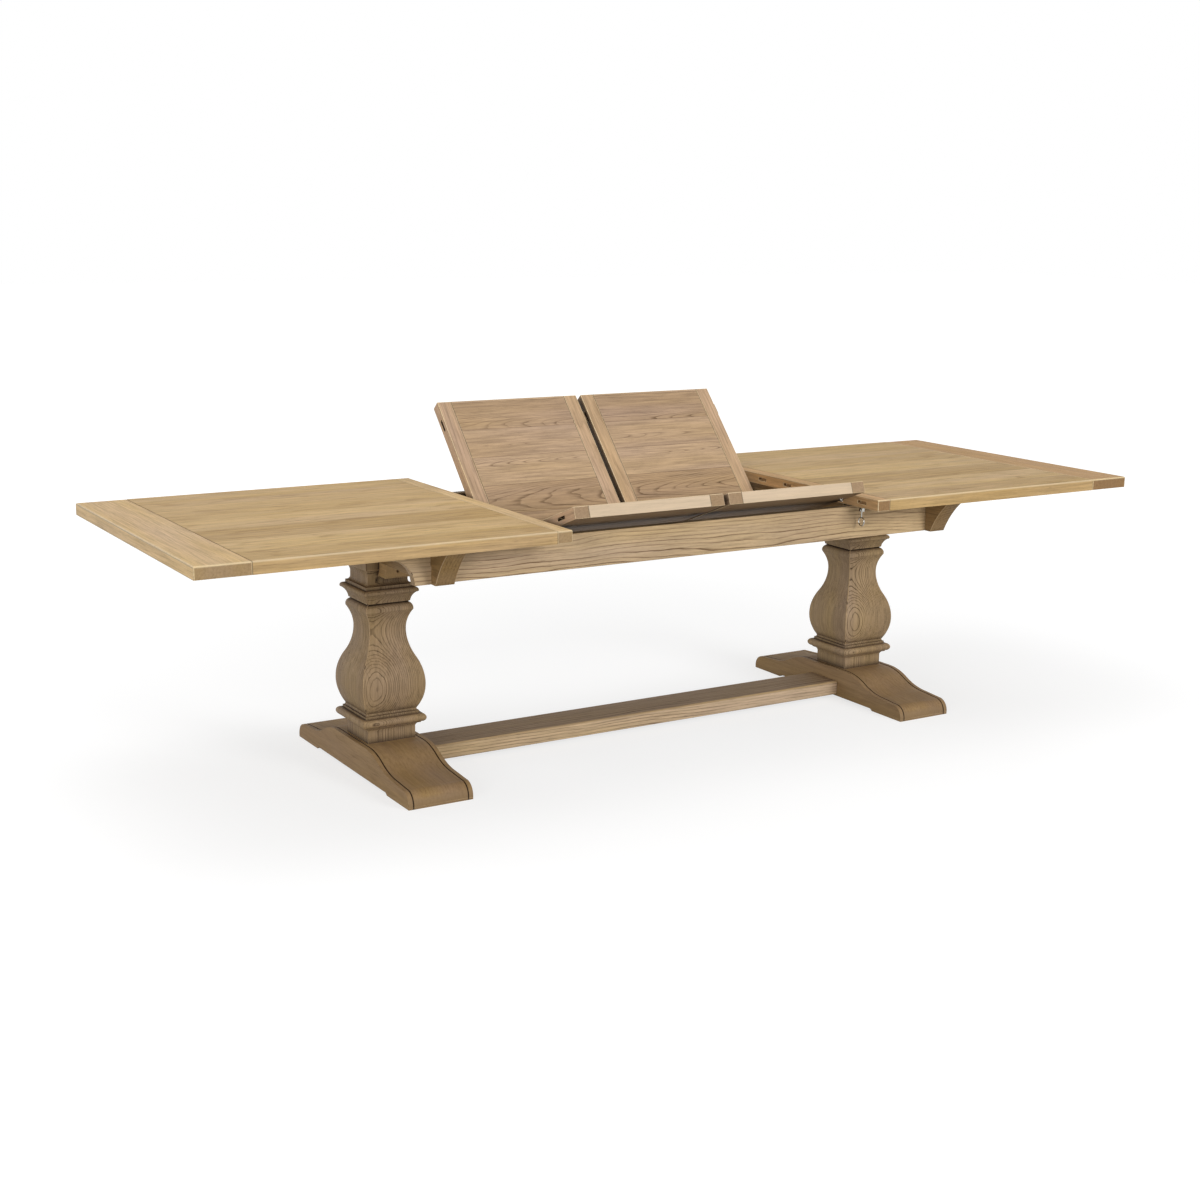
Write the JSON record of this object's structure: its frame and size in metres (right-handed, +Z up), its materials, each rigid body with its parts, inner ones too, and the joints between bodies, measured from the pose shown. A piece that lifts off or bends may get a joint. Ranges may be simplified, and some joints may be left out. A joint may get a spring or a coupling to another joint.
{
  "type": "extending dining table",
  "caption": "Long oak extending dining table on square vase pedestals with sled feet and a low stretcher, its tops pulled apart and butterfly leaves half unfolded between them.",
  "frame": {"origin": "on the floor under the middle of the table", "axes": "+X along the table's length to the right, +Y to the back, +Z up"},
  "size_m": [3.215, 1.05, 1.0283],
  "materials": {
    "top_oak": "matte lacquer",
    "leaf_oak": "matte lacquer",
    "frame_oak": "matte lacquer",
    "beech": "waxed",
    "black_steel": "black paint",
    "bare_steel": "zinc plated",
    "brass": "plain",
    "chrome": "polished"
  },
  "bodies": {
    "base": {"back_apron": "frame_oak", "back_slide_channel": "black_steel", "column_tie_rods": "bare_steel", "foot_pads": "frame_oak", "front_apron": "frame_oak", "front_slide_channel": "black_steel", "leaf_pivot_rod": "bare_steel", "left_bearer": "frame_oak", "left_capital": "frame_oak", "left_cross_rail": "frame_oak", "left_foot": "frame_oak", "left_neck": "frame_oak", "left_plinth": "frame_oak", "left_saddle": "frame_oak", "left_vase": "frame_oak", "right_bearer": "frame_oak", "right_capital": "frame_oak", "right_cross_rail": "frame_oak", "right_foot": "frame_oak", "right_neck": "frame_oak", "right_plinth": "frame_oak", "right_saddle": "frame_oak", "right_vase": "frame_oak", "stretcher": "frame_oak"},
    "left_top": {"left_runner_screws": "bare_steel", "left_top_inner_cleat": "top_oak", "left_top_keeper_pegs": "chrome", "left_top_outer_cleat": "top_oak", "left_top_panel": "top_oak", "left_top_runners": "beech", "left_top_tongues": "beech"},
    "right_top": {"latch_brackets": "chrome", "right_runner_screws": "bare_steel", "right_top_inner_cleat": "top_oak", "right_top_outer_cleat": "top_oak", "right_top_panel": "top_oak", "right_top_runners": "beech"},
    "front_latch": {"front_latch_hook": "chrome"},
    "back_latch": {"back_latch_hook": "chrome"},
    "left_leaf_carriage": {"left_leaf_bushes": "brass"},
    "left_leaf_far_half": {"left_leaf_far_cleats": "leaf_oak", "left_leaf_far_hinges": "brass", "left_leaf_far_panel": "leaf_oak", "left_leaf_pivot_lugs": "bare_steel"},
    "left_leaf_near_half": {"left_leaf_near_cleats": "leaf_oak", "left_leaf_near_hinges": "brass", "left_leaf_near_panel": "leaf_oak"},
    "right_leaf_carriage": {"right_leaf_bushes": "brass"},
    "right_leaf_far_half": {"right_leaf_far_cleats": "leaf_oak", "right_leaf_far_hinges": "brass", "right_leaf_far_keeper_peg": "chrome", "right_leaf_far_panel": "leaf_oak", "right_leaf_pivot_lugs": "bare_steel"},
    "right_leaf_near_half": {"right_leaf_near_cleats": "leaf_oak", "right_leaf_near_hinges": "brass", "right_leaf_near_keeper_peg": "chrome", "right_leaf_near_panel": "leaf_oak"}
  },
  "joints": [
    {"name": "left_top_slide", "type": "slide", "parent": "base", "child": "left_top", "axis": [1, 0, 0], "range_m": [0, 0.0359]},
    {"name": "left_leaf_shift", "type": "slide", "parent": "base", "child": "left_leaf_carriage", "axis": [1, 0, 0], "range_m": [0, 0.0087]},
    {"name": "left_leaf_swing", "type": "hinge", "parent": "left_leaf_carriage", "child": "left_leaf_far_half", "pos_m": [-0.2605, 0.151, 0.7175], "axis": [1, 0, 0], "range_deg": [-47.6, 42]},
    {"name": "left_leaf_fold", "type": "hinge", "parent": "left_leaf_far_half", "child": "left_leaf_near_half", "pos_m": [-0.2605, 0.01041, 0.64139], "axis": [1, 0, 0], "range_deg": [-60.3, 68.3]},
    {"name": "right_top_slide", "type": "slide", "parent": "base", "child": "right_top", "axis": [-1, 0, 0], "range_m": [0, 0.0359]},
    {"name": "right_leaf_shift", "type": "slide", "parent": "base", "child": "right_leaf_carriage", "axis": [-1, 0, 0], "range_m": [0, 0.0087]},
    {"name": "right_leaf_swing", "type": "hinge", "parent": "right_leaf_carriage", "child": "right_leaf_far_half", "pos_m": [0.2605, 0.151, 0.7175], "axis": [1, 0, 0], "range_deg": [-47.6, 42]},
    {"name": "right_leaf_fold", "type": "hinge", "parent": "right_leaf_far_half", "child": "right_leaf_near_half", "pos_m": [0.2605, 0.01041, 0.64139], "axis": [1, 0, 0], "range_deg": [-60.3, 68.3]},
    {"name": "front_latch_swing", "type": "hinge", "parent": "right_top", "child": "front_latch", "pos_m": [0.5535, -0.432, 0.725], "axis": [0, 1, 0], "range_deg": [0, 85]},
    {"name": "back_latch_swing", "type": "hinge", "parent": "right_top", "child": "back_latch", "pos_m": [0.5535, 0.432, 0.725], "axis": [0, 1, 0], "range_deg": [0, 85]}
  ],
  "couplings": [
    {"joint": "left_leaf_shift", "follows": "left_top_slide", "ratio": 0.24234},
    {"joint": "left_leaf_fold", "follows": "left_leaf_swing", "ratio": -1.4328},
    {"joint": "right_leaf_shift", "follows": "right_top_slide", "ratio": 0.24234},
    {"joint": "right_leaf_fold", "follows": "right_leaf_swing", "ratio": -1.4328}
  ]
}
